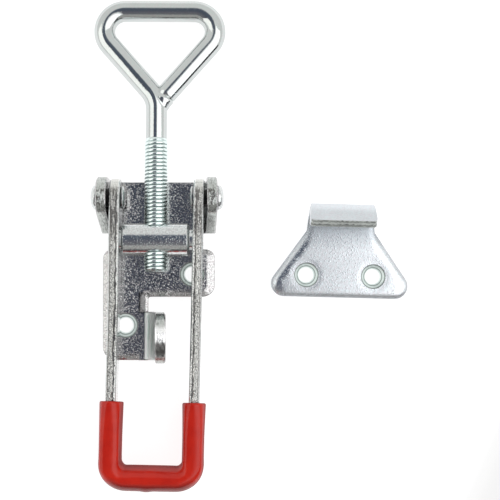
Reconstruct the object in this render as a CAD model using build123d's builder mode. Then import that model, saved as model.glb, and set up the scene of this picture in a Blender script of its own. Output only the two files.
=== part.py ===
from build123d import *
import os
from math import acos, asin, atan2, cos, degrees, pi, radians, sin, tan

# An adjustable over-centre toggle latch and its catch plate.
# +Y points from the latch towards its hook, +Z up from the mounting face, and the
# origin lies midway between the bracket's two screw holes, on the mounting face.

# Sheet steel shared by the bracket, the handle and the catch plate
sheet = 3.5
roll_w = 2.2               # width and depth of the edge that blanking drew down
roll_h = 0.9
roll_r = 3.5
edge_break = 0.4           # bevel of the other sheared edges
screw_hole_d = 5.2
screw_head_d = 8.4         # countersink at the surface

# Pivot and trunnion axes of the closed latch, as (y, z)
pivot_y = 34.3
pivot_z = 13.0
trunnion_y = 20.35
trunnion_z = 10.4

# Bracket
bracket_w = 38.2           # over the wings
bracket_front = 40.1
bracket_rear = -20.6
screw_dx = 11.35           # each screw hole from the origin
screw_dy = 8.7
ear_rear = 22.6
ear_step = 4.6             # height of the ear's rear corner
ear_head_r = 6.9
ear_bend_r = 1.5           # inside radius
ear_lean = 3.0             # degrees outwards
ear_gap = 0.74             # from leg to ear at the pivot
wing_front = 17.2
notch_x = 12.9             # how far in the relief notches reach, from the middle
cutout_front = 1.0
lug_w = 16.5
lug_x = -3.7               # where the lug's bend starts, and the edge in front of it
lug_bend_r = 2.6
lug_lean = 3.0
lock_hole_d = 7.0
lock_clear = 0.2           # from the closed handle's legs up to the padlock hole
wing_front_r = 3.1
wing_rear_r = 4.2
corner_rear_r = 4.6
cutout_r = 1.0

# Handle
leg_in = 12.1              # inner face of each leg from the middle
leg_head_r = 6.2           # round the pivot
leg_boss_r = 6.3           # round the trunnion
bar_h = 10.0               # height of the bar that the legs become
bar_start_y = -5.0
handle_end = -61.4         # outer face of the cross bar
handle_skew = 1.35         # degrees that it lies askew, in the play of its rivets
handle_bend_r = 4.5        # inside radius
coat_wall = 1.9
coat_tip = 2.8             # the coat is thicker where it drained
coat_mouth_y = -33.5
coat_bevel = 2.4
coat_inner_r = 2.8
coat_outer_r = 8.0

# Rivets
rivet_d = 6.0
rivet_fit = 0.02           # radial, in the ear
rivet_head_d = 8.2
rivet_head_h = 2.35
rivet_foot_d = 7.4
rivet_foot_h = 1.3
rivet_upset = 0.7          # how deep the peened head fills the ear's leaning face
rivet_rim = 1.1            # height of the peened head's rim over the ear
rivet_crown_d = 4.6        # flat middle that the bevel leaves on it
running = 0.05             # radial clearance of every turning or sliding fit
end_play = 0.08            # of a leg on its rivet

# Trunnion
trunnion_d = 11.0
trunnion_l = 22.5
trunnion_shift = -0.7      # it floats between the legs and rests a little to the left
journal_d = 7.0
journal_short = 0.3        # each journal ends this far inside the leg's outer face
trunnion_chamfer = 0.6

# Hook bolt
rod_d = 7.2
thread_d = 7.9
thread_front = 34.2        # thread and rod ends along the rod, from the trunnion's axis
thread_rear = -10.9
loop_bar = 78.6            # middle of the loop's bar along the rod
loop_apex = 47.2           # where the loop's two legs aim
loop_shift = 1.0           # the loop stands this far to the right of the rod
loop_half_angle = 41.0
loop_corner_r = 7.1        # bend radii of the rod's centre line
throat_r = 10.0
rod_chamfer = 0.8

# Catch plate
catch_x = 61.8             # middle of its two screw holes
catch_y = 8.2
catch_turn = -1.5          # degrees, as it lies beside the latch
catch_pitch = 22.9
catch_w = 46.9
catch_rear = 7.5           # rear edge behind the screw holes
catch_corner_r = 4.4
neck_y = 15.2
neck_w = 23.2
catch_bend_y = 17.1
catch_bend_r = 3.7
catch_tip_w = 21.2         # at the outermost line of the bend
lip_rise = 36.0            # degrees
lip_l = 3.6
lip_corner_r = 1.2

leg_out = leg_in + sheet
ear_in = leg_out + ear_gap
half_w = bracket_w / 2
bar_z = trunnion_z - leg_boss_r + bar_h / 2
lock_hole_z = bar_z + bar_h / 2 + lock_clear + lock_hole_d / 2
lug_top = lock_hole_z + lug_w / 2
rod_slope = degrees(asin((trunnion_z - rod_d / 2) / loop_bar))


def bent_wall(bend_x, inside_r, lean, height):
    """Section of a sheet that turns up at bend_x, drawn with x across and y up."""
    centre_z = sheet + inside_r
    outside_r = inside_r + sheet
    up = (height - centre_z) / cos(radians(lean))
    along = Vector(sin(radians(lean)), cos(radians(lean))) * up
    with BuildLine() as outline:
        inner = CenterArc((bend_x, centre_z), inside_r, -90, 90 - lean)
        outer = CenterArc((bend_x, centre_z), outside_r, -90, 90 - lean)
        Line(inner @ 0, outer @ 0)
        Polyline(inner @ 1, inner @ 1 + along, outer @ 1 + along, outer @ 1)
    return outline


def draw_down(rim, face):
    """Slopes a blanked plate's upper edges, as the punch draws them down."""
    chamfer(rim, length=roll_w, length2=roll_h, reference=face)


# Bracket: the right ear, which the bracket mirrors to the left
ear_tan = tan(radians(ear_lean))
ear_face = ear_bend_r * cos(radians(ear_lean))
ear_face_z = sheet + ear_bend_r - ear_bend_r * sin(radians(ear_lean))
ear_bend_x = ear_in - ear_face - (pivot_z - ear_face_z) * ear_tan
with BuildPart() as ear:
    with BuildSketch(Plane.XZ.offset(-bracket_front - ear_head_r)) as section:
        add(bent_wall(ear_bend_x, ear_bend_r, ear_lean, pivot_z + 2 * ear_head_r).line)
        make_face()
    extrude(amount=bracket_front - ear_rear + 2 * ear_head_r)
    with BuildSketch(Plane.YZ) as profile:
        with Locations((pivot_y, pivot_z)):
            Circle(ear_head_r)
        with Locations(((bracket_front + ear_rear) / 2, ear_step / 2)):
            Rectangle(bracket_front - ear_rear, ear_step)
        make_hull()
    extrude(amount=bracket_w, mode=Mode.INTERSECT)
    head = ear.edges().filter_by_position(Axis.Z, pivot_z + 1, pivot_z + ear_head_r)
    chamfer(head.filter_by(GeomType.LINE, reverse=True), edge_break)

# Bracket: the padlock lug
lug_y = bracket_rear + lug_w / 2
with BuildPart() as lug:
    with BuildSketch(Plane.XZ.offset(-lug_y - lug_w / 2)) as section:
        add(bent_wall(lug_x, lug_bend_r, lug_lean, 2 * lug_top).line)
        make_face()
    extrude(amount=lug_w)
    with BuildSketch(Plane.YZ.offset(lug_x)) as profile:
        with Locations((lug_y, lug_top - lug_w / 2)):
            Circle(lug_w / 2)
        with Locations((lug_y, sheet / 2)):
            Rectangle(lug_w, sheet)
        make_hull()
    extrude(amount=bracket_w, mode=Mode.INTERSECT)
    crown = lug.edges().filter_by_position(Axis.Z, lug_top - lug_w / 3, lug_top)
    chamfer(crown.filter_by(GeomType.LINE, reverse=True), edge_break)
    with BuildSketch(Plane.YZ.offset(lug_x)) as lock_hole:
        with Locations((lug_y, lock_hole_z)):
            Circle(lock_hole_d / 2)
    extrude(amount=bracket_w, mode=Mode.SUBTRACT)

with BuildPart() as base_bracket:
    with BuildSketch() as blank:
        with Locations((0, (bracket_rear + wing_front) / 2)):
            Rectangle(bracket_w, wing_front - bracket_rear)
        with Locations((half_w, bracket_rear)):
            Rectangle(
                half_w - lug_x,
                cutout_front - bracket_rear,
                align=(Align.MAX, Align.MIN),
                mode=Mode.SUBTRACT,
            )
        for corner, radius in (
            ((half_w, wing_front), wing_front_r),
            ((-half_w, wing_front), wing_front_r),
            ((half_w, cutout_front), wing_rear_r),
            ((-half_w, bracket_rear), corner_rear_r),
            ((lug_x, bracket_rear), wing_front_r),
            ((lug_x, cutout_front), cutout_r),
        ):
            fillet(blank.vertices().sort_by_distance(corner)[0], radius)
    extrude(amount=sheet)
    upper = base_bracket.faces().sort_by(Axis.Z)[-1]
    draw_down(upper.outer_wire().edges(), upper)
    upper = base_bracket.faces().sort_by(Axis.Z)[-1]
    fillet(upper.outer_wire().edges(), roll_r)
    with BuildSketch() as full_thickness:
        with Locations((0, wing_front - wing_front_r)):
            Rectangle(
                2 * notch_x,
                ear_rear - wing_front + wing_front_r,
                align=(Align.CENTER, Align.MIN),
            )
        with Locations((0, ear_rear)):
            Rectangle(
                2 * ear_bend_x,
                bracket_front - ear_rear,
                align=(Align.CENTER, Align.MIN),
            )
        with Locations((lug_x, bracket_rear)):
            Rectangle(wing_front_r, lug_w, align=(Align.MAX, Align.MIN))
    extrude(amount=sheet)
    add(ear.part)
    add(ear.part.mirror(Plane.YZ))
    add(lug.part)
    with BuildSketch(Plane.YZ.offset(-bracket_w)) as pivot_hole:
        with Locations((pivot_y, pivot_z)):
            Circle(rivet_d / 2 + rivet_fit)
    extrude(amount=2 * bracket_w, mode=Mode.SUBTRACT)
    with Locations((screw_dx, screw_dy, sheet), (-screw_dx, -screw_dy, sheet)):
        CounterSinkHole(screw_hole_d / 2, screw_head_d / 2)
base_bracket.part.label = "base_bracket"

# Handle: one strip bent into a U, its legs shaped as plates on edge
skew = radians(handle_skew)
skewed = Plane(origin=(0, pivot_y, 0), x_dir=(cos(skew), -sin(skew), 0))
frame_l = pivot_y - handle_end
with BuildPart() as handle_frame:
    with BuildSketch(skewed) as plan:
        with Locations((0, -frame_l)):
            Rectangle(
                2 * leg_out,
                frame_l + 2 * leg_head_r,
                align=(Align.CENTER, Align.MIN),
            )
        fillet(plan.vertices().group_by(Axis.Y)[0], handle_bend_r + sheet)
        with BuildSketch(mode=Mode.PRIVATE) as inside:
            with Locations((0, sheet - frame_l)):
                Rectangle(
                    2 * leg_in,
                    frame_l + 2 * leg_head_r,
                    align=(Align.CENTER, Align.MIN),
                )
            fillet(inside.vertices().group_by(Axis.Y)[0], handle_bend_r)
        add(inside.sketch, mode=Mode.SUBTRACT)
    extrude(amount=pivot_z + leg_head_r)
    with BuildSketch(Plane.YZ) as profile:
        with Locations((pivot_y, pivot_z)):
            Circle(leg_head_r)
        with Locations((trunnion_y, trunnion_z)):
            Circle(leg_boss_r)
        with Locations((bar_start_y, bar_z)):
            Rectangle(bar_h / 2, bar_h, align=(Align.MIN, Align.CENTER))
        make_hull()
        with Locations((bar_start_y, bar_z)):
            Rectangle(2 * frame_l, bar_h, align=(Align.MAX, Align.CENTER))
    extrude(amount=2 * leg_out, both=True, mode=Mode.INTERSECT)
    bare = handle_frame.edges().filter_by_position(Axis.Y, coat_mouth_y, pivot_y * 2)
    chamfer(bare.filter_by_position(Axis.Z, leg_boss_r, 2 * pivot_z), edge_break)
    with BuildSketch(Plane.YZ) as holes:
        with Locations((pivot_y, pivot_z)):
            Circle(rivet_d / 2 + running)
        with Locations((trunnion_y, trunnion_z)):
            Circle(journal_d / 2 + running)
    extrude(amount=2 * leg_out, both=True, mode=Mode.SUBTRACT)
handle_frame.part.label = "handle_frame"

# Grip: the soft coat that the handle's end was dipped into
coat_in = leg_in - coat_wall
coat_out = leg_out + coat_wall
coat_l = coat_mouth_y - handle_end
mouth = coat_l - frame_l
with BuildPart() as handle_grip:
    with BuildSketch(skewed.offset(bar_z - bar_h / 2 - coat_wall)) as plan:
        with Locations((0, mouth)):
            Rectangle(
                2 * coat_out, coat_l + coat_tip, align=(Align.CENTER, Align.MAX)
            )
        fillet(plan.vertices().group_by(Axis.Y)[0], coat_outer_r)
        with BuildSketch(mode=Mode.PRIVATE) as inside:
            with Locations((0, mouth)):
                Rectangle(
                    2 * coat_in,
                    coat_l - sheet - coat_wall,
                    align=(Align.CENTER, Align.MAX),
                )
            fillet(inside.vertices().group_by(Axis.Y)[0], coat_inner_r)
        add(inside.sketch, mode=Mode.SUBTRACT)
    extrude(amount=bar_h + 2 * coat_wall)
    lengthwise = handle_grip.edges().filter_by(
        lambda edge: edge.bounding_box().size.Z < 0.01
        and abs((edge @ 0).Y - (edge @ 1).Y) + abs(edge.center().Y - coat_mouth_y) > 1
    )
    chamfer(lengthwise, coat_bevel)
    add(handle_frame.part, mode=Mode.SUBTRACT)
handle_grip.part.label = "handle_grip"


# Rivets: peened outside the ear, headed inside the leg
def rivet_section(side):
    """Half section of one rivet, x outwards along the pivot axis, y its radius."""
    foot_x = leg_in - end_play - rivet_foot_h
    ear_out = ear_in + sheet
    with BuildLine() as outline:
        Polyline(
            (side * (ear_out + rivet_head_h), 0),
            (side * (ear_out + rivet_head_h), rivet_crown_d / 2),
            (side * (ear_out + rivet_rim), rivet_head_d / 2),
            (side * (ear_out - rivet_upset), rivet_head_d / 2),
            (side * (ear_out - rivet_upset), rivet_d / 2),
            (side * (leg_in - end_play), rivet_d / 2),
            (side * (leg_in - end_play), rivet_foot_d / 2),
            (side * foot_x, rivet_foot_d / 2),
            (side * foot_x, 0),
            close=True,
        )
    return outline


pivot_plane = Plane(origin=(0, pivot_y, pivot_z), x_dir=(1, 0, 0), z_dir=(0, 0, 1))
pivot_axis = Axis((0, pivot_y, pivot_z), (1, 0, 0))
rivets = {}
for name, side in (("left_rivet", -1), ("right_rivet", 1)):
    with BuildPart() as rivet:
        with BuildSketch(pivot_plane) as section:
            add(rivet_section(side).line)
            make_face()
        revolve(axis=pivot_axis)
        add(base_bracket.part, mode=Mode.SUBTRACT)
    rivet.part.label = name
    rivets[name] = rivet

# Trunnion: the cross bar that turns in the legs and holds the hook bolt's thread
rod_dir = (0, cos(radians(rod_slope)), -sin(radians(rod_slope)))
rod_up = (0, sin(radians(rod_slope)), cos(radians(rod_slope)))
rod_origin = (trunnion_shift, trunnion_y, trunnion_z)
across_rod = Plane(origin=rod_origin, x_dir=(1, 0, 0), z_dir=rod_dir)
along_rod = Plane(origin=rod_origin, x_dir=(1, 0, 0), z_dir=rod_up)
with BuildPart() as trunnion:
    with BuildSketch(Plane.YZ.offset(trunnion_shift)) as body:
        with Locations((trunnion_y, trunnion_z)):
            Circle(trunnion_d / 2)
    extrude(amount=trunnion_l / 2, both=True)
    chamfer(trunnion.edges().filter_by(GeomType.CIRCLE), trunnion_chamfer)
    with BuildSketch(Plane.YZ) as journal:
        with Locations((trunnion_y, trunnion_z)):
            Circle(journal_d / 2)
    extrude(amount=leg_out - journal_short, both=True)
    with BuildSketch(across_rod) as bore:
        Circle(thread_d / 2 + running)
    extrude(amount=trunnion_d, both=True, mode=Mode.SUBTRACT)
trunnion.part.label = "trunnion"

# Hook bolt: one rod, bent into a triangular loop and threaded at its other end
loop_tan = tan(radians(loop_half_angle))
corner_x = (loop_bar - loop_apex) * loop_tan
throat_y = loop_apex + loop_shift / loop_tan
with BuildPart() as hook_bolt:
    with BuildLine(along_rod) as path:
        FilletPolyline(
            (loop_shift, loop_apex),
            (loop_shift + corner_x, loop_bar),
            (loop_shift - corner_x, loop_bar),
            (0, throat_y),
            (0, thread_front),
            radius=[loop_corner_r, loop_corner_r, throat_r],
        )
    with BuildSketch(Plane(origin=path.line @ 0, z_dir=path.line % 0)) as section:
        Circle(rod_d / 2)
    sweep()
    with BuildSketch(across_rod.offset(thread_rear)) as shank:
        Circle(thread_d / 2)
    extrude(amount=thread_front - thread_rear)
    rod_end = hook_bolt.faces().sort_by_distance(across_rod.offset(thread_rear).origin)[0]
    chamfer(rod_end.edges(), rod_chamfer)
hook_bolt.part.label = "hook_bolt"

# Catch plate: a keyhole-shaped blank, its neck rolled back over itself as a hook
rise = radians(lip_rise)
catch_bend_z = sheet + catch_bend_r
catch_tip = catch_bend_y + catch_bend_r + sheet
lip_end = (
    catch_bend_y + (catch_bend_r + sheet / 2) * sin(rise) - lip_l * cos(rise),
    catch_bend_z + (catch_bend_r + sheet / 2) * cos(rise) + lip_l * sin(rise),
)
with BuildPart() as catch_hook:
    with BuildSketch(Plane.YZ.offset(-catch_w)) as section:
        with BuildLine():
            lower = CenterArc(
                (catch_bend_y, catch_bend_z), catch_bend_r, -90, 180 - lip_rise
            )
            upper = CenterArc(
                (catch_bend_y, catch_bend_z), catch_bend_r + sheet, -90, 180 - lip_rise
            )
            lip = Vector(-cos(rise), sin(rise)) * lip_l
            Polyline(lower @ 1, lower @ 1 + lip, upper @ 1 + lip, upper @ 1)
            Polyline(lower @ 0, (0, sheet), (0, 0), upper @ 0)
        make_face()
    extrude(amount=2 * catch_w)
    with BuildSketch() as tongue:
        with BuildLine():
            Polyline(
                (-neck_w / 2, 0),
                (-neck_w / 2, neck_y),
                (-catch_tip_w / 2, catch_tip),
                (catch_tip_w / 2, catch_tip),
                (neck_w / 2, neck_y),
                (neck_w / 2, 0),
                close=True,
            )
        make_face()
    extrude(amount=2 * catch_tip, mode=Mode.INTERSECT)
    end_face = catch_hook.faces().sort_by_distance((0, *lip_end))[0]
    fillet(end_face.edges().sort_by(SortBy.LENGTH)[:2], lip_corner_r)

# The plate's sides run from the neck and meet its rounded rear corners at a tangent
corner_at = Vector(catch_w / 2 - catch_corner_r, catch_corner_r - catch_rear)
to_neck = Vector(neck_w / 2, neck_y) - corner_at
side_at = atan2(to_neck.Y, to_neck.X) - acos(catch_corner_r / to_neck.length)
foot_x = corner_at.X + catch_corner_r * tan((side_at + pi / 2) / 2)
with BuildPart() as catch_plate:
    with BuildSketch() as outline:
        with BuildLine():
            Polyline(
                (neck_w / 2, neck_y),
                (-neck_w / 2, neck_y),
                (-foot_x, -catch_rear),
                (foot_x, -catch_rear),
                close=True,
            )
        make_face()
        fillet(outline.vertices().sort_by(Axis.Y)[:2], catch_corner_r)
    extrude(amount=sheet)
    upper = catch_plate.faces().sort_by(Axis.Z)[-1]
    draw_down(upper.outer_wire().edges(), upper)
    upper = catch_plate.faces().sort_by(Axis.Z)[-1]
    fillet(upper.outer_wire().edges(), roll_r)
    add(catch_hook.part)
    with Locations(
        (catch_pitch / 2, 0, sheet),
        (-catch_pitch / 2, 0, sheet),
    ):
        CounterSinkHole(screw_hole_d / 2, screw_head_d / 2)
catch_plate.part.location = Location((catch_x, catch_y, 0), (0, 0, catch_turn))
catch_plate.part.label = "catch_plate"

os.makedirs("parts", exist_ok=True)
export_step(base_bracket.part, "parts/base_bracket.step")
export_step(handle_frame.part, "parts/handle_frame.step")
export_step(handle_grip.part, "parts/handle_grip.step")
export_step(rivets["left_rivet"].part, "parts/left_rivet.step")
export_step(rivets["right_rivet"].part, "parts/right_rivet.step")
export_step(trunnion.part, "parts/trunnion.step")
export_step(hook_bolt.part, "parts/hook_bolt.step")
export_step(catch_plate.part, "parts/catch_plate.step")
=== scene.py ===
"""Looks of an over-centre toggle latch and its catch plate: bright zinc plate, dipped red grip.

Lengths are in metres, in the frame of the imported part, most of them written as millimetres times
MM. Plain rows of places on the latch, such as LEG_TIP and the holes' centres, are in millimetres
and are scaled where they are used. The latch lies on its mounting face and the camera looks
straight down on it.
"""

from math import asin, copysign, cos, pi, radians, sin, tan

import bpy
from mathutils import Matrix, Vector, noise


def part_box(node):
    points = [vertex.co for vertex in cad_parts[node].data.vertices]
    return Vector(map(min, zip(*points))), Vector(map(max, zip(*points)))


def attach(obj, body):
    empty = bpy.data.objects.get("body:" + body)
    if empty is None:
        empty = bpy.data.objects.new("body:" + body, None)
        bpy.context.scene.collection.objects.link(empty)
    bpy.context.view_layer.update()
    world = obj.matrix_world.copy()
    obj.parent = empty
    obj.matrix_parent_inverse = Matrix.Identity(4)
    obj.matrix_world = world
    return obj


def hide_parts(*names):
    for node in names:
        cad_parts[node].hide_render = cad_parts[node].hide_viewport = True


MM = 0.001

# Camera, found by matching the solids' edges to the photograph
CAMERA_AT = Vector((23.0, 9.2, 409.4)) * MM
CAMERA_TURN = (1.10, -1.14, 0.0)    # degrees
FOCAL_PX = 1188
FRAME_PX = 500
SENSOR_MM = 36.0
CLIP_START = 0.01

# Hook bolt, as in the part's source
ROD_R = 3.6 * MM
CREST_R = 3.95 * MM
ROOT_R = 3.42 * MM
PITCH = 1.25 * MM
TRUNNION = Vector((-0.7, 20.35, 10.4)) * MM
THREAD_FRONT = 34.2 * MM
THREAD_REAR = -10.9 * MM
THREAD_FADE = 1.6 * PITCH
THREAD_FADE_POWER = 0.7
LOOP_BAR = 78.6 * MM
LOOP_APEX = 47.2 * MM
LOOP_SHIFT = 1.0 * MM
LOOP_HALF_ANGLE = radians(41.0)
LOOP_CORNER_R = 7.1 * MM
LEG_START = 3.2 * MM
LEG_SETTLED = 0.4 * MM
LOOP_STEP = 0.45 * MM
THROAT_R = 10.0 * MM
ROD_CHAMFER = 0.8 * MM

# Thread: how far out from a crest's middle its rounded top and its root lie, as shares of half a
# pitch, and how much of the depth lies within the top
CREST_TOP = 0.66
CREST_ROOT = 0.97
TOP_DROP = 0.15

# The leg's end where it runs into the shank: how far across and along, and how thick
LEG_TIP = (
    (1.25, 42.2, 0.7),
    (1.25, 42.8, 1.6),
    (1.30, 44.1, 2.3),
    (1.45, 45.4, 2.8),
    (1.80, 46.8, 3.3),
    (2.10, 47.7, 3.6),
    (2.35, 48.3, 3.55),
    (2.50, 48.6, 3.30),
    (2.65, 48.95, 3.12),
    (2.80, 49.25, 3.30),
)

# The handle's strip, and the coat on its end
STRIP = 3.5 * MM
LEG_IN = 12.1 * MM
PIVOT_Y = 34.3 * MM
HANDLE_END = -61.4 * MM
HANDLE_SKEW = radians(1.35)
COAT_WALL = 1.9 * MM
COAT_TIP = 2.8 * MM
COAT_MOUTH_Y = -33.5 * MM
COAT_BEND_R = 5.5 * MM
COAT_STEP = 0.9 * MM
COAT_BEND_STEP = 0.5 * MM

# Where the coat's form changes: its lip, its fuller mouth and that mouth's slant, measured from
# the mouth, and the fuller bar across its end with its corners and its drip
LIP_R = 0.6 * MM
LIP_CLOSED = 0.10
LIP_STOPS = (0.12, 0.3, 0.6)
FULL_RUN = 13 * MM
FULL_POWER = 1.3
FULL_OUT = 0.30 * MM
FULL_IN = 0.35 * MM
SLANT_RUN = 8 * MM
SLANT = 1.5 * MM
BAR_RUN = 7 * MM
BAR_IN = 0.55 * MM
CORNER_AT = 3 * MM
CORNER_RUN = 6 * MM
DRIP_X = -1.5 * MM
DRIP_HALF = 2.6 * MM
DRIP = 0.28 * MM

# How square the coat's section is, how much rounder at its mouth, bar and corners, and where
# it gets painted shade: how far a place looks to the end, and how far out on the section it lies
SQUARE = 4.0
ROUNDER = (1.7, 1.8, 0.2)
END_SHADE_TURN = (0.60, 0.95)
END_SHADE_OUT = (0.20, 0.45)

# Rivets: a domed, hammered head outside the ear and a lower foot inside the leg
RIVET_HEAD_R = 4.1 * MM
RIVET_HEAD_H = 2.35 * MM
RIVET_RIM = 0.35 * RIVET_HEAD_H
RIVET_FOOT_R = 3.7 * MM
RIVET_FOOT_H = 1.3 * MM
RIVET_FOOT_END = ((0.0, 0.3), (0.0, 2.2), (0.25, 3.1), (0.6, 3.7))    # depth and radius
RIVET_R = 3.0 * MM
DOME_POWER = 0.8
DENT = 0.16 * MM
DENT_SPREAD = 1.5 * MM

# Screw holes and their countersinks, whose slopes show dark rings: radius, half width, softness
BASE_HOLES = ((-11.35, -8.7), (11.35, 8.7))
CATCH_HOLES = ((50.35, 8.5), (73.25, 7.9))
SINK_R = 4.25 * MM
SINK_RINGS = ((4.05, 0.09, 0.15), (3.1, 0.05, 0.15))

# The bracket's lug: the strip it is bent up from and the plate beside the cut-out, as two corners,
# and where its top gets a painted highlight and painted shade, standing in for what it mirrors, as
# places along Y: middle, half length, softness
LUG_STRIP = ((-4.9, -20.4), (-1.2, -4.2))
CUTOUT_SIDE = ((-7.0, -4.7), (-4.5, 2.7))
LUG_HIGHLIGHT_BANDS = ((-10.6, 1.6, 1.6),)
LUG_SHADE_BANDS = ((-15.4, 1.2, 1.2), (-4.6, 0.5, 1.0))

# The two torn lines on the catch plate's lip: height, half width, softness
LIP_TEARS = ((14.5, 0.15, 0.3), (13.0, 0.25, 0.3))

# Bands along the strip's sheared edge, as shares of the way across it from the outer face:
# centre, half width, softness
STRIP_LINE = (0.17, 0.035, 0.04)
STRIP_RIDGE = (0.53, 0.02, 0.06)
STRIP_TEAR = (0.70, 0.06, 0.05)

# Between which heights, places along Y or distances from a hole a finish comes in or fades out
EAR_EDGE_Z = 4.5 * MM
LUG_TOP_Z = (22 * MM, 24 * MM)
LUG_FOOT_Z = (6.0 * MM, 6.5 * MM)
NECK_Z = (5.0 * MM, 6.0 * MM)
UNDER_LIP_Y = (16.5 * MM, 23.5 * MM)
NEAR_PIVOT_Y = (19 * MM, 23 * MM)
HOLE_RIM = (4.4 * MM, 6.6 * MM)

# How softly each piece's edges are rounded
ROUND_EDGE = 0.3 * MM
STRIP_EDGE_R = 0.35 * MM
BRACKET_EDGE_R = 0.6 * MM
CATCH_RIM_R = 3.2 * MM
CATCH_EDGE_R = 0.4 * MM

# Plating: each piece's tint, and what is mixed into it
WHITE = (1.0, 1.0, 1.0)
ZINC_BAR = (0.62, 0.665, 0.655)
ZINC_TURNED = (0.74, 0.78, 0.775)
ZINC_BRACKET = (0.53, 0.535, 0.53)
ZINC_CATCH = (0.74, 0.79, 0.825)
ZINC_STRIP = (0.60, 0.63, 0.62)
ZINC_CREST = (0.80, 0.89, 0.88)
# painted shade for the thread's grooves
GROOVE_SHADE = (0.36, 0.44, 0.43)
ROSY_CLOUD = (0.72, 0.52, 0.58)
DARK_FLECK = (0.10, 0.10, 0.11)
PALE_FLECK = (0.95, 0.97, 0.98)
# painted shade: near black, for a rivet's shank in the gap between ear and leg
GAP_SHADE_BLACK = (0.02, 0.02, 0.02)
# painted shade for the thread's flanks at its two sides
FLANK_SHADE = (0.05, 0.06, 0.06)
SINK_PALE = (0.92, 0.98, 0.96)
SINK_RING = (0.20, 0.23, 0.22)
EAR_EDGE = (0.56, 0.585, 0.565)
EAR_MOTTLE = (0.20, 0.205, 0.20)
EAR_PIT = (0.09, 0.085, 0.08)
# painted shade on the lug's top, beside its white painted highlight
LUG_SHADE = (0.14, 0.13, 0.13)
# painted light: the pale colour of the strip the lug is bent up from
LUG_PALE = (0.68, 0.80, 0.74)
CUTOUT_SHADE = (0.03, 0.03, 0.03)
LIP_EDGE = (0.66, 0.69, 0.66)
LIP_TORN = (0.07, 0.075, 0.07)
LIP_SHADE = (0.24, 0.28, 0.32)
STRIP_EDGE = (0.70, 0.70, 0.67)
STRIP_BURR = (0.90, 0.91, 0.90)
STRIP_TORN = (0.12, 0.115, 0.11)

# Vinyl: its own red where thin and thick, and painted shade on upright sides and the bar's outer
# side
RED = (0.60, 0.022, 0.010)
RED_DEEP = (0.50, 0.015, 0.007)
# painted shade on the vinyl's upright sides
RED_SIDE_SHADE = (0.20, 0.010, 0.008)
# painted shade on the bar's outer side, at the far end of the U
RED_END_SHADE = (0.25, 0.018, 0.014)

# Roughness where a piece's finish isn't its speckled one, and how strongly the others mirror
SINK_ROUGH = 0.40
EAR_ROUGH = 0.24
LUG_FOOT_ROUGH = 0.36
LIP_ROUGH = 0.40
STRIP_EDGE_ROUGH = 0.20
THREAD_ROUGH = (0.19, 0.34)
VINYL_ROUGH = (0.18, 0.70)
VINYL_MIRROR = 0.32
TABLE_ROUGH = 0.9
TABLE_MIRROR = 0.1

# Studio: how brightly each card round the table shines, and where it hangs, in metres
CARD_H = 1.0
REAR_Y = -1.0
EDGE_H = 0.004
TABLE_HALF = 4.0
FLOOR_TONES = (0.30, 0.294)
FLOOR_GLOW = 0.88
ROOM_GLOW = (0.86, 0.865, 0.85)
LEFT_GLOW = (1.46, 1.45, 1.40)
RIGHT_GLOW = ((0.05, (0.50, 0.50, 0.50)), (0.30, (1.85, 1.85, 1.85)))
WALL_GLOW = (0.43, 0.425, 0.41)
SKIRT_GLOW = (0.10, 0.095, 0.10)
DOOR_GLOW = (0.06, 0.06, 0.065)
FLAG_GLOW = (
    (-0.80, (0.21, 0.21, 0.22)),
    (-0.25, (0.15, 0.15, 0.18)),
    (0.10, (0.10, 0.115, 0.15)),
    (0.50, (0.12, 0.14, 0.18)),
    (0.80, ROOM_GLOW),
)
FLAG = (
    (0.07, -0.95),
    (0.07, 0.80),
    (-0.08, 0.78),
    (-0.30, 0.55),
    (-0.53, 0.45),
    (-0.55, 0.10),
    (-1.10, -0.60),
    (-1.25, -0.95),
)
SOFTBOX_LEFT = (
    (-0.57, 0.10),
    (-0.57, 0.52),
    (-0.80, 0.75),
    (-2.60, 0.80),
    (-3.60, -0.20),
    (-3.60, -1.90),
    (-2.00, -1.90),
    (-1.27, -0.95),
    (-1.12, -0.60),
)
SOFTBOX_RIGHT = (
    (0.07, -0.80),
    (1.20, -1.05),
    (2.30, -1.15),
    (2.30, 0.30),
    (1.50, 0.60),
    (0.07, 0.52),
)
TABLE_EDGE = (
    (0.16, 0.05),
    (3.20, 0.05),
    (3.20, -3.00),
    (-0.30, -3.00),
    (-0.30, -0.30),
    (0.0, -0.30),
)

# Upright cards to the rear: from x to x, from z to z, glow
REAR_CARDS = {
    "room_wall": (-1.6, 0.9, 0.30, 1.00, WALL_GLOW),
    "table_skirt": (-0.5, 0.9, 0.03, 0.30, SKIRT_GLOW),
    "doorway": (0.9, 3.2, 0.0, 0.80, DOOR_GLOW),
}


# --- node helpers -------------------------------------------------------------------------------


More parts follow.
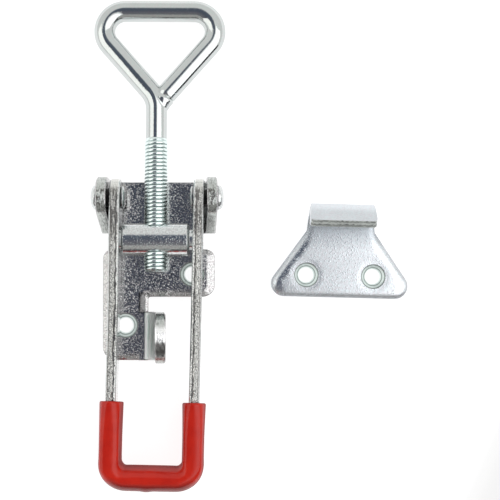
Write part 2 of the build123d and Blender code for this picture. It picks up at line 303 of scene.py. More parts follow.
class Nodes:
    """A material's node tree, with short calls to add and link nodes.

    A value is a number or another node's socket, and a colour is a socket or three numbers.
    """

    def __init__(self, name):
        self.material = bpy.data.materials.new(name)
        self.material.use_nodes = True
        self.tree = self.material.node_tree
        self.tree.nodes.clear()
        self.output = self.add("ShaderNodeOutputMaterial")

    def feed(self, socket, value):
        """Links a socket to another one, or sets its value."""
        if isinstance(value, bpy.types.NodeSocket):
            self.tree.links.new(value, socket)
        else:
            socket.default_value = value

    def add(self, kind, inputs=None, **settings):
        """A node, its inputs fed by their names or numbers."""
        node = self.tree.nodes.new(kind)
        for name, value in settings.items():
            setattr(node, name, value)
        for name, value in (inputs or {}).items():
            self.feed(node.inputs[name], value)
        return node

    def finish(self, kind, inputs):
        """The material, its surface made by a shader of one kind."""
        shader = self.add(kind, inputs)
        self.tree.links.new(shader.outputs[0], self.output.inputs["Surface"])
        return self.material

    def math(self, operation, *values):
        node = self.add("ShaderNodeMath", dict(enumerate(values)), operation=operation)
        return node.outputs[0]

    def row(self, operation, values):
        """One operation over a row of values, from left to right."""
        result, *rest = values
        for value in rest:
            result = self.math(operation, result, value)
        return result

    def plus(self, *values):
        return self.row("ADD", values)

    def minus(self, first, second):
        return self.math("SUBTRACT", first, second)

    def times(self, *values):
        return self.row("MULTIPLY", values)

    def most(self, *values):
        return self.row("MAXIMUM", values)

    def absolute(self, value):
        return self.math("ABSOLUTE", value)

    def sway(self, noise, width):
        """A noise turned into a shift to either side, within a width."""
        return self.times(self.minus(noise, 0.5), width)

    def ramp(self, value, low, high, to_low=0.0, to_high=1.0):
        """A straight change from one value to another between low and high, level past them."""
        return self.add(
            "ShaderNodeMapRange",
            {
                "Value": value,
                "From Min": low,
                "From Max": high,
                "To Min": to_low,
                "To Max": to_high,
            },
        ).outputs["Result"]

    def band(self, value, centre, half, soft):
        """1 within half a width of a centre, fading to 0 past it."""
        away = self.absolute(self.minus(value, centre))
        return self.ramp(away, half, half + soft, 1.0, 0.0)

    def bands(self, value, rows):
        """1 on any of the bands, each a row of centre, half width and softness in millimetres."""
        return self.most(*(self.band(value, *(size * MM for size in row)) for row in rows))

    def blend(self, share, first, second):
        """From the first value to the second by a share."""
        node = self.add("ShaderNodeMix", {0: share, 2: first, 3: second}, data_type="FLOAT")
        return node.outputs[0]

    def mix(self, share, first, second):
        """From the first colour to the second by a share."""
        node = self.add("ShaderNodeMix", {0: share}, data_type="RGBA")
        for slot, colour in ((6, first), (7, second)):
            is_socket = isinstance(colour, bpy.types.NodeSocket)
            self.feed(node.inputs[slot], colour if is_socket else (*colour, 1.0))
        return node.outputs[2]

    def axis(self, kind, axis):
        """One axis of the piece's own coordinates, or of its normal."""
        place = self.add("ShaderNodeTexCoord").outputs[kind]
        return self.add("ShaderNodeSeparateXYZ", {0: place}).outputs[axis]

    def stored(self, name):
        """What a piece's mesh stores for each point; 0 on pieces that store nothing."""
        return self.add("ShaderNodeAttribute", attribute_name=name).outputs["Fac"]

    def noise(self, scale, stretch=(1, 1, 1), detail=2.0, rough=0.5):
        """Noise in the piece's own frame, scale in blobs per millimetre along each axis."""
        place = self.add("ShaderNodeTexCoord").outputs["Object"]
        scaled = self.add(
            "ShaderNodeVectorMath",
            {0: place, 1: tuple(scale * s / MM for s in stretch)},
            operation="MULTIPLY",
        ).outputs[0]
        return self.add(
            "ShaderNodeTexNoise",
            {"Vector": scaled, "Scale": 1.0, "Detail": detail, "Roughness": rough},
        ).outputs["Fac"]

    def from_holes(self, centres):
        """Distance from the nearest of the upright axes through the centres."""
        found = 1.0
        for x, y in centres:
            across = self.minus(self.axis("Object", 0), x * MM)
            along = self.minus(self.axis("Object", 1), y * MM)
            square = self.plus(self.math("POWER", across, 2.0), self.math("POWER", along, 2.0))
            found = self.math("MINIMUM", self.math("SQRT", square), found)
        return found

    def past_box(self, corners):
        """How far outside an upright box a point is, by two corners; negative inside."""
        (left, rear), (right, front) = corners
        over = []
        for i, low, high in ((0, left, right), (1, rear, front)):
            middle, half = (low + high) / 2 * MM, (high - low) / 2 * MM
            away = self.absolute(self.minus(self.axis("Object", i), middle))
            over.append(self.minus(away, half))
        return self.math("SMOOTH_MAX", *over, 1.0 * MM)

    def cut_edge(self, above):
        """1 on the edges of sheet whose faces look along X, above a height; 0 elsewhere."""
        edge = self.ramp(self.absolute(self.axis("Normal", 0)), 0.45, 0.60, 1.0, 0.0)
        high = self.ramp(self.axis("Object", 2), above - 0.3 * MM, above + 0.3 * MM)
        return self.times(edge, high)

    def rounded(self, radius, samples=8):
        """The surface's direction with its edges softened to a radius."""
        node = self.add("ShaderNodeBevel", {"Radius": radius}, samples=samples)
        return node.outputs[0]

    def bump(self, height, unit, normal=None):
        """The surface's direction over a height, which is given in some unit."""
        inputs = {"Height": height, "Strength": 1.0, "Distance": unit}
        if normal is not None:
            inputs["Normal"] = normal
        return self.add("ShaderNodeBump", inputs).outputs["Normal"]


# --- materials ----------------------------------------------------------------------------------


def plated(m, colour, roughness, normal):
    """A zinc plated surface; a piece's stored dark places are painted black as shade."""
    return m.finish(
        "ShaderNodeBsdfPrincipled",
        {
            "Base Color": m.mix(m.stored("dark"), colour, GAP_SHADE_BLACK),
            "Metallic": 1.0,
            "Roughness": roughness,
            "Normal": normal,
        },
    )


def speckled(m, tint, rough, speckle, fleck):
    """Colour, roughness and height of bright plate with fine raised specks and cloudy tone.

    Rough is its middle roughness, speckle how high its specks stand, in millimetres, and fleck
    how strongly its grain turns dark and pale.
    """
    grain = m.noise(2.1, detail=1.0)
    fine = m.noise(2.7, detail=1.0, rough=0.6)
    cloud = m.noise(0.15)
    tone = m.noise(1.1, detail=1.0)
    height = m.plus(m.times(m.ramp(grain, 0.57, 0.75), speckle), m.times(fine, speckle * 0.20))
    colour = m.mix(m.ramp(cloud, 0.35, 0.75, 0.0, 0.30), tint, [c * 0.80 for c in tint])
    colour = m.mix(m.ramp(tone, 0.35, 0.65, 0.0, 0.14), colour, ROSY_CLOUD)
    colour = m.mix(m.ramp(fine, 0.34, 0.54, fleck, 0.0), colour, DARK_FLECK)
    colour = m.mix(m.ramp(fine, 0.50, 0.66, 0.0, fleck * 0.8), colour, PALE_FLECK)
    roughness = m.ramp(grain, 0.3, 0.7, rough * 0.7, rough * 1.3)
    return colour, roughness, height


def zinc(name, tint, rough, speckle, fleck):
    """Bright zinc plate on round pieces, mirror-like under its specks."""
    m = Nodes(name)
    colour, roughness, height = speckled(m, tint, rough, speckle, fleck)
    return plated(m, colour, roughness, m.bump(height, MM, m.rounded(ROUND_EDGE)))


def sunk(m, colour, roughness, centres):
    """Paler, duller plate on the slopes of countersinks, with dark rings."""
    slope = m.ramp(m.axis("Normal", 2), 0.93, 0.98, 1.0, 0.0)
    away = m.from_holes(centres)
    sink = m.times(m.ramp(away, SINK_R, SINK_R + 0.1 * MM, 1.0, 0.0), slope)
    pale = m.mix(m.times(m.bands(away, SINK_RINGS), 0.92), SINK_PALE, SINK_RING)
    return m.mix(sink, colour, pale), m.blend(sink, roughness, SINK_ROUGH)


def sheared_ears(m, colour, roughness, height):
    """The sheared edges of the ears and lug: mottled, and drawn and torn where they look up."""
    cut = m.cut_edge(EAR_EDGE_Z)
    upward = m.times(cut, m.ramp(m.axis("Normal", 2), 0.84, 0.96))
    drawn = m.noise(2.6, stretch=(1, 0.10, 0.12), rough=0.6)
    tear = m.noise(1.3, stretch=(1, 0.5, 0.4), detail=3.0, rough=0.65)
    grit = m.noise(2.2, detail=1.0)
    rise = m.plus(m.times(drawn, 0.22), m.times(tear, 0.22), m.times(grit, 0.08))
    height = m.blend(cut, height, m.times(m.plus(grit, tear), 0.06))
    height = m.blend(upward, height, rise)
    colour = m.mix(cut, colour, EAR_EDGE)
    colour = m.mix(m.times(m.ramp(tear, 0.46, 0.60, 0.0, 0.5), cut), colour, EAR_MOTTLE)
    colour = m.mix(m.times(m.ramp(tear, 0.50, 0.56, 0.0, 0.85), upward), colour, EAR_PIT)
    return colour, m.blend(cut, roughness, EAR_ROUGH), height


def lug_top(m, colour):
    """The lug's rounded top: painted highlight between two bands of painted shade, as in the
    photograph.
    """
    crown = m.ramp(m.axis("Object", 2), *LUG_TOP_Z)
    along = m.axis("Object", 1)
    # painted highlight: white where the top would mirror a bright place
    colour = m.mix(m.times(crown, m.bands(along, LUG_HIGHLIGHT_BANDS)), colour, WHITE)
    # painted shade on the top, on either side of the painted highlight
    return m.mix(m.times(m.bands(along, LUG_SHADE_BANDS), crown, 0.75), colour, LUG_SHADE)


def lug_strip(m, colour, roughness, height):
    """The strip that the lug is bent up from, and the shaded plate beside the cut-out.

    The strip is painted pale as painted light, with a white painted highlight round its rim. Its
    bump leans it to one side, so that it mirrors another part of the room. The plate beside the
    cut-out gets painted shade.
    """
    low = m.ramp(m.axis("Object", 2), *LUG_FOOT_Z, 1.0, 0.0)
    outside = m.past_box(LUG_STRIP)
    strip = m.times(m.ramp(outside, -0.1 * MM, 0.0, 1.0, 0.0), low)
    rim = m.band(outside, -0.62 * MM, 0.10 * MM, 0.2 * MM)
    lines = m.noise(2.4, stretch=(1, 0.04, 1))
    # painted light: the strip is pale with white lines, and white round its rim as a painted
    # highlight
    pale = m.mix(m.ramp(lines, 0.42, 0.58), LUG_PALE, WHITE)
    colour = m.mix(strip, colour, m.mix(rim, pale, WHITE))
    beside = m.ramp(m.past_box(CUTOUT_SIDE), -0.3 * MM, 0.1 * MM, 0.74, 0.0)
    colour = m.mix(m.times(beside, low), colour, CUTOUT_SHADE)
    middle = (LUG_STRIP[0][0] + LUG_STRIP[1][0]) / 2 * MM
    lean = m.times(m.minus(m.axis("Object", 0), middle), 0.46 / MM)
    height = m.blend(strip, height, m.plus(lean, m.times(lines, 0.10)))
    return colour, m.blend(strip, roughness, LUG_FOOT_ROUGH), height


def bracket_zinc(name):
    """The bracket: specks on its flats, sheared edges on its ears and lug, pale countersinks."""
    m = Nodes(name)
    colour, roughness, height = speckled(m, ZINC_BRACKET, rough=0.11, speckle=0.05, fleck=0.36)
    colour, roughness, height = sheared_ears(m, colour, roughness, height)
    colour = lug_top(m, colour)
    colour, roughness = sunk(m, colour, roughness, BASE_HOLES)
    colour, roughness, height = lug_strip(m, colour, roughness, height)
    return plated(m, colour, roughness, m.bump(height, MM, m.rounded(BRACKET_EDGE_R)))


def catch_zinc(name):
    """The catch plate: a softly rolled rim, a torn lip over a shaded neck, pale countersinks."""
    m = Nodes(name)
    colour, roughness, height = speckled(m, ZINC_CATCH, rough=0.20, speckle=0.025, fleck=0.09)
    high = m.ramp(m.axis("Object", 2), *NECK_Z)
    roughness = m.blend(high, roughness, LIP_ROUGH)

    # the lip's sheared end, which looks to the rear
    sheared = m.times(m.ramp(m.axis("Normal", 1), -0.55, -0.40, 1.0, 0.0), high)
    ragged = m.noise(2.2, stretch=(0.4, 1, 1), detail=3.0, rough=0.7)
    level = m.plus(m.axis("Object", 2), m.sway(ragged, 2.4 * MM))
    torn = m.times(m.bands(level, LIP_TEARS), m.ramp(ragged, 0.34, 0.50, 0.95, 0.55))
    colour = m.mix(sheared, colour, m.mix(torn, LIP_EDGE, LIP_TORN))
    height = m.blend(sheared, height, m.times(ragged, 0.2))

    # the plate darkens towards the neck, under the lip
    toward_neck = m.ramp(m.axis("Object", 1), *UNDER_LIP_Y, 0.0, 0.5)
    low = m.ramp(high, 0.0, 1.0, 1.0, 0.0)
    colour = m.mix(m.times(toward_neck, low), colour, LIP_SHADE)
    colour, roughness = sunk(m, colour, roughness, CATCH_HOLES)

    # the rim rolls softly, the neck and the holes' edges stay crisp
    by_hole = m.ramp(m.from_holes(CATCH_HOLES), *HOLE_RIM, 1.0, 0.0)
    soft, crisp = m.rounded(CATCH_RIM_R), m.rounded(CATCH_EDGE_R, samples=6)
    rim = m.add("ShaderNodeMix", {0: m.most(high, by_hole), 4: soft, 5: crisp}, data_type="VECTOR")
    return plated(m, colour, roughness, m.bump(height, MM, rim.outputs[1]))


def strip_zinc(name):
    """The handle's strip: its sheared edges are banded along the strip, the same round the U.

    Across the edge, from the outer face to the inner one, there are a bright burr, a dark line,
    grit, a bright wavering line, a dark torn band and a bright burr. Near the pivots the edge has
    dark patches as well.
    """
    m = Nodes(name)
    colour, roughness, height = speckled(m, ZINC_STRIP, rough=0.12, speckle=0.04, fleck=0.30)
    cut = m.cut_edge(-MM)
    upward = m.times(cut, m.ramp(m.axis("Normal", 2), 0.80, 0.95))

    # share of the way across the edge, from its outer face
    back = m.minus(m.axis("Object", 1), PIVOT_Y)
    out = m.minus(
        m.times(m.axis("Object", 0), cos(HANDLE_SKEW)), m.times(back, sin(HANDLE_SKEW))
    )
    across = m.math("DIVIDE", m.minus(LEG_IN + STRIP, m.absolute(out)), STRIP)

    waver = m.noise(0.35, stretch=(0.2, 1, 0.1), detail=3.0, rough=0.6)
    tear = m.noise(1.1, stretch=(1, 0.30, 0.3), detail=3.0, rough=0.65)
    grit = m.noise(2.3, detail=1.5, rough=0.6)
    wavy = m.plus(across, m.sway(waver, 0.14))
    torn = m.plus(wavy, m.sway(tear, 0.45))
    dark = m.most(m.band(torn, *STRIP_TEAR), m.band(wavy, *STRIP_LINE))

    burr = m.plus(m.ramp(across, 0.0, 0.13), m.ramp(across, 0.84, 1.0, 0.0, -1.0))
    ridge = m.band(wavy, *STRIP_RIDGE)
    rough_here = m.blend(dark, 0.24, 0.08)
    rise = m.plus(m.times(grit, rough_here), m.times(burr, 0.28), m.times(ridge, 0.18))
    height = m.blend(cut, height, m.times(grit, 0.05))
    height = m.blend(upward, height, rise)

    colour = m.mix(cut, colour, m.mix(m.ramp(across, 0.78, 0.86), STRIP_EDGE, STRIP_BURR))
    broken = m.times(dark, m.ramp(grit, 0.38, 0.60, 0.95, 0.45))
    near_pivot = m.ramp(m.axis("Object", 1), *NEAR_PIVOT_Y)
    pivot_patches = m.times(m.ramp(tear, 0.47, 0.54, 0.85, 0.15), near_pivot)
    specks = m.ramp(grit, 0.34, 0.50, 0.65, 0.0)
    colour = m.mix(m.times(m.most(broken, pivot_patches, specks), upward), colour, STRIP_TORN)
    roughness = m.blend(cut, roughness, STRIP_EDGE_ROUGH)
    return plated(m, colour, roughness, m.bump(height, MM, m.rounded(STRIP_EDGE_R)))


def thread_zinc(name):
    """Zinc plate, duller in the thread's grooves, with painted shade: grey in them, dark on their
    flanks at its two sides.
    """
    m = Nodes(name)
    deep = m.stored("groove")
    # painted shade: grey in the grooves
    colour = m.mix(m.ramp(deep, 0.2, 0.9), ZINC_CREST, GROOVE_SHADE)
    # painted shade: dark on the grooves' flanks where the thread faces sideways
    side = m.ramp(m.absolute(m.axis("Normal", 0)), 0.80, 0.95, 0.0, 0.8)
    colour = m.mix(m.times(side, m.ramp(deep, 0.25, 0.7)), colour, FLANK_SHADE)
    roughness = m.ramp(deep, 0.1, 0.9, *THREAD_ROUGH)
    return plated(m, colour, roughness, m.bump(m.noise(2.6), 0.02 * MM))


def red_vinyl(name):
    """Glossy dipped vinyl with a slight ripple.

    It is duller on upright sides, with painted shade there, and painted shade lies on the bar's
    outer side, where each point stores it.
    """
    m = Nodes(name)
    ripple = m.noise(0.16)
    grain = m.noise(2.0)
    height = m.plus(m.times(ripple, 0.2), m.times(grain, 0.004))
    side = m.ramp(m.absolute(m.axis("Normal", 2)), 0.10, 0.55, 1.0, 0.0)
    colour = m.mix(m.ramp(ripple, 0.3, 0.7), RED, RED_DEEP)
    # painted shade on upright sides
    colour = m.mix(m.times(side, 0.75), colour, RED_SIDE_SHADE)
    return m.finish(
        "ShaderNodeBsdfPrincipled",
        {
            # painted shade on the bar's outer side
            "Base Color": m.mix(m.stored("end_shade"), colour, RED_END_SHADE),
            "Roughness": m.blend(side, *VINYL_ROUGH),
            "Specular IOR Level": VINYL_MIRROR,
            "Normal": m.bump(height, MM),
        },
    )


def table_white(name):
    """A matt table that shines by itself as well, so that it stays evenly white."""
    m = Nodes(name)
    tone = m.ramp(m.noise(0.01), 0.3, 0.7)
    return m.finish(
        "ShaderNodeBsdfPrincipled",
        {
            "Base Color": m.mix(tone, *((pale, pale, pale) for pale in FLOOR_TONES)),
            "Roughness": TABLE_ROUGH,
            "Specular IOR Level": TABLE_MIRROR,
            "Emission Color": (*WHITE, 1.0),
            "Emission Strength": FLOOR_GLOW,
        },
    )


def glow(name, colour):
    """A card that shines evenly."""
    return Nodes(name).finish("ShaderNodeEmission", {"Color": (*colour, 1.0)})


def fading_glow(name, axis, stops):
    """A card that shines from one colour to the next between places along an axis."""
    m = Nodes(name)
    at = m.axis("Object", axis)
    colour = stops[0][1]
    for (start, _), (end, tone) in zip(stops, stops[1:]):
        colour = m.mix(m.ramp(at, start, end), colour, tone)
    return m.finish("ShaderNodeEmission", {"Color": colour})


# --- mesh helpers -------------------------------------------------------------------------------


def mesh_piece(name, points, faces, material):
    """A new object in the scene with one material."""
    mesh = bpy.data.meshes.new(name)
    mesh.from_pydata([tuple(p) for p in points], [], faces)
    mesh.validate()
    mesh.materials.append(material)
    piece = bpy.data.objects.new(name, mesh)
    bpy.context.scene.collection.objects.link(piece)
    return piece


def lattice(rings):
    """Points and faces of a capped tube through rings of equally many points."""
    count = len(rings[0])
    points = [p for ring in rings for p in ring]
    faces = []
    for low in range(0, len(points) - count, count):
        high = low + count
        for j in range(count):
            k = (j + 1) % count
            faces.append((low + j, low + k, high + k, high + j))
    faces.append(tuple(reversed(range(count))))
    faces.append(tuple(range(len(points) - count, len(points))))
    return points, faces


def tube_piece(name, rings, material, angle, inside_out=False):
    """A capped tube, shaded smooth but for edges sharper than the angle."""
    points, faces = lattice(rings)
    if inside_out:
        faces = [tuple(reversed(face)) for face in faces]
    piece = mesh_piece(name, points, faces, material)
    mesh = piece.data
    mesh.polygons.foreach_set("use_smooth", [True] * len(mesh.polygons))
    mesh.set_sharp_from_angle(angle=radians(angle))
    return piece


def store(piece, name, values):
    """Stores a number for each point, which the piece's material reads."""
    piece.data.attributes.new(name, "FLOAT", "POINT").data.foreach_set("value", values)


def around(count):
    """As many angles evenly round a circle."""
    return [2 * pi * i / count for i in range(count)]


def ahead_at(path, i):
    """The direction of a path at its i-th point."""
    return (path[min(i + 1, len(path) - 1)] - path[max(i - 1, 0)]).normalized()


def part_way(value, low, high):
    """How far a value lies from low to high, kept within 0 and 1."""
    return min(max((value - low) / (high - low), 0.0), 1.0)


def near(distance, reach):
    """1 at no distance, falling straight to 0 at the reach."""
    return max(0.0, 1 - distance / reach)


def eased(share):
    """A share from 0 to 1 that starts and ends gently."""
    return share * share * (3 - 2 * share)


def rounded_path(corners, radii, step):
    """Points along straight runs joined by arcs, as (x, y), for a path with sharp ends."""
    path = [Vector(corners[0])]
    for before, corner, after, radius in zip(corners, corners[1:], corners[2:], radii):
        before, corner, after = Vector(before), Vector(corner), Vector(after)
        arriving = (corner - before).normalized()
        leaving = (after - corner).normalized()
        turn = abs(arriving.angle_signed(leaving))
        start = corner - arriving * (radius * tan(turn / 2))
        side = 1.0 if arriving.cross(leaving) > 0 else -1.0
        centre = start + Vector((-arriving.y, arriving.x)) * radius * side
        count = max(int(turn * radius / step), 4)
        spoke = start - centre
        for i in range(count + 1):
            path.append(centre + Matrix.Rotation(side * turn * i / count, 2) @ spoke)
    path.append(Vector(corners[-1]))
    return path


# --- the hook bolt ------------------------------------------------------------------------------


def rod_frame():
    """The hook bolt's axes from the trunnion: along the rod, across it, and up from its plane."""
    slope = asin((TRUNNION.z - ROD_R) / LOOP_BAR)
    along = Vector((0, cos(slope), -sin(slope)))
    up = Vector((0, sin(slope), cos(slope)))
    return along, Vector((1, 0, 0)), up


def rod_tube(material, segments=56):
    """The bent rod: its tapered tip beside the shank, round the loop and down to the thread."""
    along, across, up = rod_frame()
    slant = tan(LOOP_HALF_ANGLE)
    corner_x = (LOOP_BAR - LOOP_APEX) * slant
    corners = [
        (
            LOOP_SHIFT + LEG_START * sin(LOOP_HALF_ANGLE),
            LOOP_APEX + LEG_START * cos(LOOP_HALF_ANGLE),
        ),
        (LOOP_SHIFT + corner_x, LOOP_BAR),
        (LOOP_SHIFT - corner_x, LOOP_BAR),
        (0.0, LOOP_APEX + LOOP_SHIFT / slant),
        (0.0, THREAD_FRONT),
    ]
    bends = rounded_path(corners, (LOOP_CORNER_R, LOOP_CORNER_R, THROAT_R), LOOP_STEP)
    # a second ring close to the leg's start keeps its shading apart from the tip's
    settled = bends[0] + (bends[1] - bends[0]).normalized() * LEG_SETTLED
    path = [Vector((x, y)) * MM for x, y, _ in LEG_TIP] + [bends[0], settled, *bends[1:]]
    radii = [radius * MM for _, _, radius in LEG_TIP]
    radii += [ROD_R] * (len(path) - len(radii))
    rings = []
    for i, (point, radius) in enumerate(zip(path, radii)):
        ahead = ahead_at(path, i)
        side = across * -ahead.y + along * ahead.x
        centre = TRUNNION + across * point.x + along * point.y
        rings.append([
            centre + (side * cos(angle) + up * sin(angle)) * radius for angle in around(segments)
        ])
    return tube_piece("hook_loop", rings, material, 40.0)


def thread_depth(turn):
    """Depth below the crest, 0 to 1: broad rounded crests with narrow V grooves between them."""
    away = abs(turn % 1.0 - 0.5) * 2
    if away < CREST_TOP:
        return TOP_DROP * (away / CREST_TOP) ** 2
    return TOP_DROP + (1 - TOP_DROP) * part_way(away, CREST_TOP, CREST_ROOT)


def thread_tube(material, segments=72, per_pitch=18):
    """The rolled thread: a right-hand helix that fades into the rod and ends in a chamfer."""
    along, across, up = rod_frame()
    length = THREAD_FRONT - THREAD_REAR
    count = int(length / PITCH * per_pitch)
    rings = []
    depths = []
    for i in range(count + 1):
        run = length * i / count
        at = THREAD_REAR + run
        formed = part_way(THREAD_FRONT - at, 0.0, THREAD_FADE)
        ring = []
        for angle in around(segments):
            # angles grow from the rod's left side over its top, so this climbs to the right
            depth = thread_depth(run / PITCH - angle / (2 * pi))
            radius = CREST_R - (CREST_R - ROOT_R) * depth
            radius = ROD_R + (radius - ROD_R) * formed ** THREAD_FADE_POWER
            radius = min(radius, CREST_R - ROD_CHAMFER + run)
            depths.append(depth * formed)
            ring.append(TRUNNION + along * at - (across * cos(angle) - up * sin(angle)) * radius)
        rings.append(ring)
    piece = tube_piece("hook_thread", rings, material, 55.0)
    store(piece, "groove", depths)
    return piece


# --- the rivets ---------------------------------------------------------------------------------


def rivet(node, outward, material, segments=48, dome_steps=14):
    """A rivet across the hinge: domed and hammered outside, flatter inside, as a turned profile."""
    low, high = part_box(node)
    centre = (low + high) / 2
    head = (high.x - low.x) / 2
    foot = -head
    seat = head - RIVET_HEAD_H
    shank = foot + RIVET_FOOT_H
    profile = [(foot + depth * MM, radius * MM) for depth, radius in RIVET_FOOT_END]
    profile += [
        (shank, RIVET_FOOT_R),
        (shank, RIVET_R),
        (seat, RIVET_R),
        (seat, RIVET_HEAD_R),
    ]
    for i in range(dome_steps):
        lean = pi / 2 * i / dome_steps
        at = seat + RIVET_RIM + (RIVET_HEAD_H - RIVET_RIM) * sin(lean)
        profile.append((at, RIVET_HEAD_R * cos(lean) ** DOME_POWER))
    rings = []
    in_gap_shade = []
    for at, radius in profile:
        ring = []
        for angle in around(segments):
            spoke = Vector((0, cos(angle), sin(angle)))
            dent = 0.0
            if at > seat:
                dent = noise.noise((spoke * radius + Vector((at, 0, 0))) / DENT_SPREAD) * DENT
            ring.append(centre + Vector((outward * at, 0, 0)) + spoke * (radius - abs(dent)))
            # painted shade: the shank between the foot and the head's seat lies in the dark gap,
            # and is stored dark
            in_gap_shade.append(float(shank <= at <= seat))
        rings.append(ring)
    piece = tube_piece(node + "_domed", rings, material, 50.0, inside_out=outward < 0)
    store(piece, "dark", in_gap_shade)
    return piece


# --- the grip -----------------------------------------------------------------------------------


def coat_section(out_w, in_w, half_h, power, count=48):
    """An oval about the strip, from (outward, up) straight outward; squarer at higher powers."""
    points = []
    for angle in around(count):
        x, z = cos(angle), sin(angle)
        wide = out_w if x > 0 else in_w
        points.append((
            copysign(wide * abs(x) ** (2 / power), x),
            copysign(half_h * abs(z) ** (2 / power), z),
        ))
    return points


def coat_path(middle, mouth, end):
    """Points down one leg, across the bar and up the other leg, closer together at the mouths."""
    corners = [(-middle, mouth), (-middle, end), (middle, end), (middle, mouth)]
    flat = rounded_path(corners, (COAT_BEND_R, COAT_BEND_R), COAT_BEND_STEP)
    path = []
    for a, b in zip(flat, flat[1:]):
        count = max(int((b - a).length / COAT_STEP), 1)
        path += [a.lerp(b, i / count) for i in range(count)]
    path.append(flat[-1])
    first = [path[0].lerp(path[1], k) for k in LIP_STOPS]
    path = [path[0], *first, *path[1:-1]]
    last = [flat[-1].lerp(path[-1], k) for k in reversed(LIP_STOPS)]
    return [*path, *last, flat[-1]]


def grip_coat(material):
    """The dipped coat swept round the U: round and full at its mouths, drained to the far end."""
    middle = LEG_IN + STRIP / 2
    end = HANDLE_END - PIVOT_Y + STRIP / 2
    path = coat_path(middle, COAT_MOUTH_Y - PIVOT_Y, end)
    turn = Matrix.Rotation(-HANDLE_SKEW, 2)
    low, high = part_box("handle_grip")
    mid_z = (low.z + high.z) / 2
    half_h = (high.z - low.z) / 2
    total = sum((b - a).length for a, b in zip(path, path[1:]))
    rings = []
    end_shade = []
    run = 0.0
    for i, point in enumerate(path):
        if i:
            run += (point - path[i - 1]).length
        ahead = ahead_at(path, i)
        outward = Vector((ahead.y, -ahead.x))
        from_mouth = min(run, total - run)
        from_lip = min(from_mouth / LIP_R, 1.0)
        close = 1 - LIP_CLOSED + LIP_CLOSED * (1 - (1 - from_lip) ** 2) ** 0.5
        full = near(from_mouth, FULL_RUN) ** FULL_POWER
        bar = eased(near(abs(point.y - end), BAR_RUN))
        corner = bar * near(abs(abs(point.x) - middle + CORNER_AT), CORNER_RUN)
        drip = DRIP * eased(near(abs(point.x - DRIP_X), DRIP_HALF) * bar)
        out_w = STRIP / 2 + COAT_WALL + FULL_OUT * full
        out_w += (COAT_TIP - COAT_WALL - FULL_OUT) * bar + drip
        in_w = STRIP / 2 + COAT_WALL + FULL_IN * full + BAR_IN * bar
        power = SQUARE - sum(k * form for k, form in zip(ROUNDER, (full, bar, corner)))
        slant = SLANT * near(from_mouth, SLANT_RUN)
        downward = 1 if run < total / 2 else -1
        # painted shade on the bar's outer side, which looks to the far end and the dim rear of the
        # room
        far_end = bar * part_way(-outward.y, *END_SHADE_TURN)
        ring = []
        for x, z in coat_section(out_w, in_w, half_h, power):
            end_shade.append(far_end * part_way(x / out_w, *END_SHADE_OUT))
            shift = ahead * downward * slant * (half_h - z) / (2 * half_h)
            place = turn @ (point + outward * x * close + shift)
            ring.append(Vector((place.x, place.y + PIVOT_Y, mid_z + z * close)))
        rings.append(ring)
    piece = tube_piece("grip_coat", rings, material, 60.0)
    store(piece, "end_shade", end_shade)
    return piece


# --- the studio ---------------------------------------------------------------------------------


def card(name, corners, material):
    """A flat card through its corners, unseen by the camera."""
    piece = mesh_piece(name, corners, [tuple(range(len(corners)))], material)
    piece.visible_camera = False


def level_card(name, outline, height, material):
    """A card that lies level, by its outline's (x, y)."""
    card(name, [(x, y, height) for x, y in outline], material)


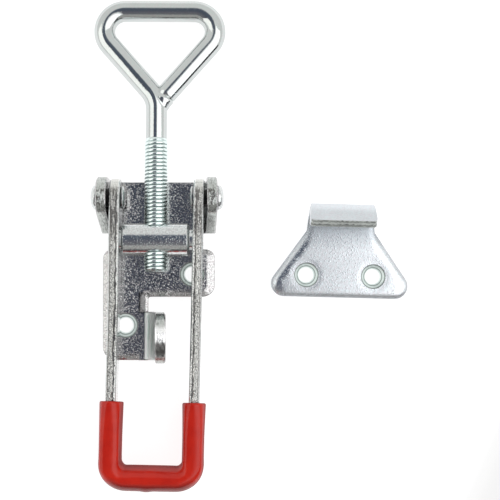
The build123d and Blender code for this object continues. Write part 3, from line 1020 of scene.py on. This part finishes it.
def studio():
    """A white table under two soft boxes, with a dark gap over the middle and a light room."""
    corners = ((-1, -1), (1, -1), (1, 1), (-1, 1))
    floor = mesh_piece(
        "table",
        [(x * TABLE_HALF, y * TABLE_HALF, 0) for x, y in corners],
        [(0, 1, 2, 3)],
        table_white("table_white"),
    )
    right_glow = fading_glow("softbox_right", 0, RIGHT_GLOW)
    level_card("softbox_right", SOFTBOX_RIGHT, CARD_H, right_glow)
    level_card("softbox_left", SOFTBOX_LEFT, CARD_H, glow("softbox_left", LEFT_GLOW))
    level_card("flag", FLAG, CARD_H, fading_glow("flag", 1, FLAG_GLOW))
    for name, (left, right, low, high, colour) in REAR_CARDS.items():
        sides = ((left, low), (right, low), (right, high), (left, high))
        card(name, [(x, REAR_Y, z) for x, z in sides], glow(name, colour))
    level_card("table_edge", TABLE_EDGE, EDGE_H, glow("table_edge", SKIRT_GLOW))
    world = bpy.data.worlds.new("room")
    world.use_nodes = True
    world.node_tree.nodes["Background"].inputs["Color"].default_value = (*ROOM_GLOW, 1.0)
    bpy.context.scene.world = world


def camera():
    """The photograph's camera, which looks almost straight down."""
    data = bpy.data.cameras.new("camera")
    data.sensor_width = SENSOR_MM
    data.lens = SENSOR_MM * FOCAL_PX / FRAME_PX
    data.clip_start = CLIP_START
    eye = bpy.data.objects.new("camera", data)
    eye.location = CAMERA_AT
    eye.rotation_euler = [radians(a) for a in CAMERA_TURN]
    bpy.context.scene.collection.objects.link(eye)
    bpy.context.scene.camera = eye


# --- the object ---------------------------------------------------------------------------------


def dress(frame):
    """Gives each carried-over node its finish, and replaces the bolt, the rivets and the grip."""
    bar = zinc("zinc_bar", ZINC_BAR, rough=0.08, speckle=0.006, fleck=0.03)
    turned = zinc("zinc_turned", ZINC_TURNED, rough=0.13, speckle=0.018, fleck=0.22)
    finishes = {
        "base_bracket": bracket_zinc("zinc_bracket"),
        "catch_plate": catch_zinc("zinc_catch"),
        "handle_frame": strip_zinc("zinc_strip"),
        "trunnion": turned,
    }
    for node, material in finishes.items():
        for place in frame["nodes"][node].material_slots:
            place.material = material

    for piece in (rod_tube(bar), thread_tube(thread_zinc("zinc_thread"))):
        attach(piece, "hook")
        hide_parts("hook_bolt")
    for node, outward in (("left_rivet", -1), ("right_rivet", 1)):
        piece = rivet(node, outward, turned)
        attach(piece, "base")
        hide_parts(node)
    coat = grip_coat(red_vinyl("red_vinyl"))
    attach(coat, "handle")
    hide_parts("handle_grip")


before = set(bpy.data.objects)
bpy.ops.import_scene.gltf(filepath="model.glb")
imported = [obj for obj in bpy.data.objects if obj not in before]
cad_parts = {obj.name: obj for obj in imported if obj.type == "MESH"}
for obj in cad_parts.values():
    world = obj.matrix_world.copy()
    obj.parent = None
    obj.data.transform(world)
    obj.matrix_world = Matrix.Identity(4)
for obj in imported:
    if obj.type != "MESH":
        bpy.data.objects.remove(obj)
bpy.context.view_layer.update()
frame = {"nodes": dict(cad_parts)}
bpy.context.scene.view_settings.view_transform = "Standard"
camera()
studio()
dress(frame)
